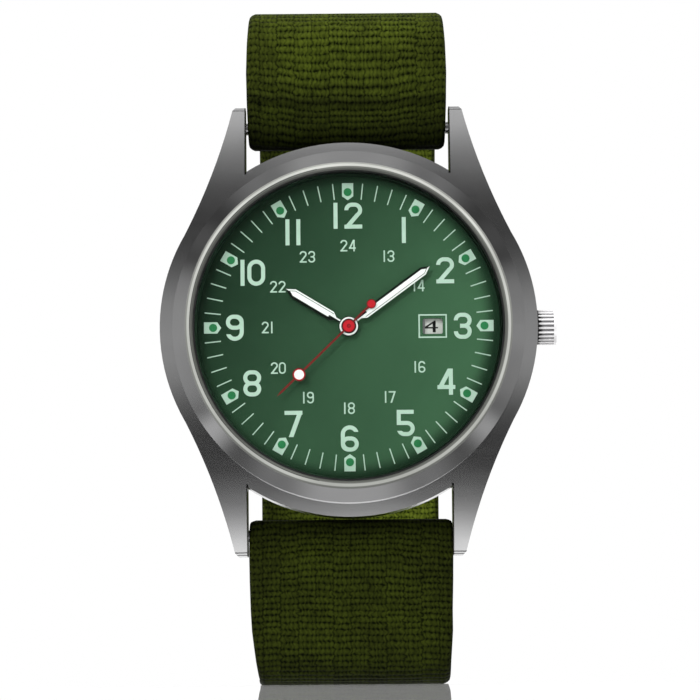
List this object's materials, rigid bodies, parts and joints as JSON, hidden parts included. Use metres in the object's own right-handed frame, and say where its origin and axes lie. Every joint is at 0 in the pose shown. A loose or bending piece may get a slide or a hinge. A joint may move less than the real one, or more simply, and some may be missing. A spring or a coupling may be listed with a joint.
{
  "type": "wristwatch",
  "caption": "Round military wristwatch with a green dial, day window, hands over a geared movement, and a buckled olive nylon strap standing on its lower bend.",
  "frame": {"origin": "centre of the case back's outer face", "axes": "+X towards the crown at three o'clock, +Y to the wrist (the dial faces -Y), +Z towards twelve o'clock"},
  "size_m": [0.0393, 0.0612, 0.068],
  "materials": {
    "case_satin": "satin, gunmetal",
    "polished_steel": "polished",
    "crystal": "clear, flat",
    "gasket": "matt",
    "rehaut": "matt black",
    "dial": "satin green lacquer",
    "print": "pale mint print",
    "plot_dot": "green print",
    "holder": "moulded",
    "brass": "gilt",
    "steel": "fine brushed",
    "board": "circuit board",
    "copper": "enamelled copper wire",
    "magnet": "plain",
    "date_ring": "light grey",
    "lume": "white luminous paint",
    "red_lacquer": "red lacquer",
    "nylon": "olive nylon webbing"
  },
  "bodies": {
    "watch": {"case_middle": "case_satin", "bezel": "case_satin", "rim": "polished_steel", "crystal": "crystal", "crystal_gasket": "gasket", "rehaut_ring": "rehaut", "case_back": "steel", "back_gasket": "gasket", "crown_tube": "steel", "dial": "dial", "hour_plots": "print", "plot_dots": "plot_dot", "hour_numerals": "print", "inner_numerals": "print", "fine_print": "print", "movement_ring": "holder", "main_plate": "brass", "train_bridge": "brass", "movement_screws": "steel", "circuit_board": "board", "quartz_can": "steel", "coil": "copper", "stator": "steel", "battery": "steel", "battery_clamp": "steel", "calendar_plate": "steel", "date_jumper": "steel", "bar_tubes": "steel", "buckle_bar": "steel", "upper_strap": "nylon", "lower_strap": "nylon", "fixed_keeper": "nylon"},
    "setting_pinion": {"setting_pinion": "steel"},
    "crown": {"crown": "polished_steel", "crown_gasket": "gasket", "stem": "steel"},
    "setting_lever": {"setting_lever": "steel"},
    "rotor": {"rotor": "magnet"},
    "intermediate_wheel": {"intermediate_wheel": "brass"},
    "second_wheel": {"second_wheel": "brass", "second_hand": "red_lacquer", "second_dot": "lume"},
    "third_wheel": {"third_wheel": "brass"},
    "centre_wheel": {"centre_wheel": "brass"},
    "cannon_pinion": {"cannon_pinion": "brass", "minute_hand": "polished_steel", "minute_lume": "lume"},
    "minute_wheel": {"minute_wheel": "brass"},
    "hour_wheel": {"hour_wheel": "brass", "hour_hand": "polished_steel", "hour_lume": "lume"},
    "date_wheel": {"date_wheel": "brass"},
    "date_ring": {"date_ring": "date_ring"},
    "free_keeper": {"free_keeper": "nylon"},
    "buckle_frame": {"buckle_frame": "steel"},
    "buckle_tongue": {"buckle_tongue": "steel"},
    "upper_pin_right": {"upper_pin_right": "steel"},
    "upper_pin_left": {"upper_pin_left": "steel"},
    "lower_pin_right": {"lower_pin_right": "steel"},
    "lower_pin_left": {"lower_pin_left": "steel"}
  },
  "joints": [
    {"name": "crown_turn", "type": "hinge", "parent": "watch", "child": "setting_pinion", "pos_m": [0.0078, -0.0044, 0], "axis": [1, 0, 0], "continuous": true},
    {"name": "crown_pull", "type": "slide", "parent": "setting_pinion", "child": "crown", "axis": [1, 0, 0], "range_m": [0, 0.0015]},
    {"name": "lever_swing", "type": "hinge", "parent": "watch", "child": "setting_lever", "pos_m": [0.01165, -0.0052, 0.0032], "axis": [0, -1, 0], "range_deg": [0, 27.12]},
    {"name": "second_turn", "type": "hinge", "parent": "watch", "child": "second_wheel", "pos_m": [0, 0, 0], "axis": [0, 1, 0], "continuous": true},
    {"name": "rotor_turn", "type": "hinge", "parent": "watch", "child": "rotor", "pos_m": [0.00064, 0, -0.00512], "axis": [0, 1, 0], "continuous": true},
    {"name": "intermediate_turn", "type": "hinge", "parent": "watch", "child": "intermediate_wheel", "pos_m": [0.0018, 0, -0.00312], "axis": [0, 1, 0], "continuous": true},
    {"name": "third_turn", "type": "hinge", "parent": "watch", "child": "third_wheel", "pos_m": [-0.0018, 0, 0.00312], "axis": [0, 1, 0], "continuous": true},
    {"name": "centre_turn", "type": "hinge", "parent": "watch", "child": "centre_wheel", "pos_m": [0, 0, 0], "axis": [0, 1, 0], "continuous": true},
    {"name": "minute_turn", "type": "hinge", "parent": "watch", "child": "cannon_pinion", "pos_m": [0, 0, 0], "axis": [0, 1, 0], "continuous": true},
    {"name": "minute_wheel_turn", "type": "hinge", "parent": "watch", "child": "minute_wheel", "pos_m": [-0.003, 0, 0], "axis": [0, 1, 0], "continuous": true},
    {"name": "hour_turn", "type": "hinge", "parent": "watch", "child": "hour_wheel", "pos_m": [0, 0, 0], "axis": [0, 1, 0], "continuous": true},
    {"name": "date_wheel_turn", "type": "hinge", "parent": "watch", "child": "date_wheel", "pos_m": [0.00231, 0, 0.00276], "axis": [0, 1, 0], "continuous": true},
    {"name": "date_ring_turn", "type": "hinge", "parent": "watch", "child": "date_ring", "pos_m": [0, 0, 0], "axis": [0, 1, 0], "continuous": true},
    {"name": "keeper_slide", "type": "slide", "parent": "watch", "child": "free_keeper", "axis": [0, 0, 1], "range_m": [-0.0014, 0.0026]},
    {"name": "frame_swing", "type": "hinge", "parent": "watch", "child": "buckle_frame", "pos_m": [0, 0.0474, 0], "axis": [1, 0, 0], "range_deg": [-1.5, 0]},
    {"name": "tongue_swing", "type": "hinge", "parent": "watch", "child": "buckle_tongue", "pos_m": [0, 0.0474, 0], "axis": [1, 0, 0], "range_deg": [0, 4]},
    {"name": "upper_pin_right_press", "type": "slide", "parent": "watch", "child": "upper_pin_right", "axis": [-1, 0, 0], "range_m": [0, 0.0009], "stiffness_N_per_m": 500, "springref_m": -0.001},
    {"name": "upper_pin_left_press", "type": "slide", "parent": "watch", "child": "upper_pin_left", "axis": [1, 0, 0], "range_m": [0, 0.0009], "stiffness_N_per_m": 500, "springref_m": -0.001},
    {"name": "lower_pin_right_press", "type": "slide", "parent": "watch", "child": "lower_pin_right", "axis": [-1, 0, 0], "range_m": [0, 0.0009], "stiffness_N_per_m": 500, "springref_m": -0.001},
    {"name": "lower_pin_left_press", "type": "slide", "parent": "watch", "child": "lower_pin_left", "axis": [1, 0, 0], "range_m": [0, 0.0009], "stiffness_N_per_m": 500, "springref_m": -0.001}
  ],
  "couplings": [
    {"joint": "lever_swing", "follows": "crown_pull", "rad_per_m": 315.43},
    {"joint": "rotor_turn", "follows": "second_turn", "ratio": 30},
    {"joint": "intermediate_turn", "follows": "second_turn", "ratio": -3},
    {"joint": "third_turn", "follows": "second_turn", "ratio": -0.13333},
    {"joint": "centre_turn", "follows": "second_turn", "ratio": 0.016667},
    {"joint": "minute_wheel_turn", "follows": "minute_turn", "ratio": -0.33333},
    {"joint": "hour_turn", "follows": "minute_turn", "ratio": 0.083333},
    {"joint": "date_wheel_turn", "follows": "minute_turn", "ratio": -0.041667}
  ]
}
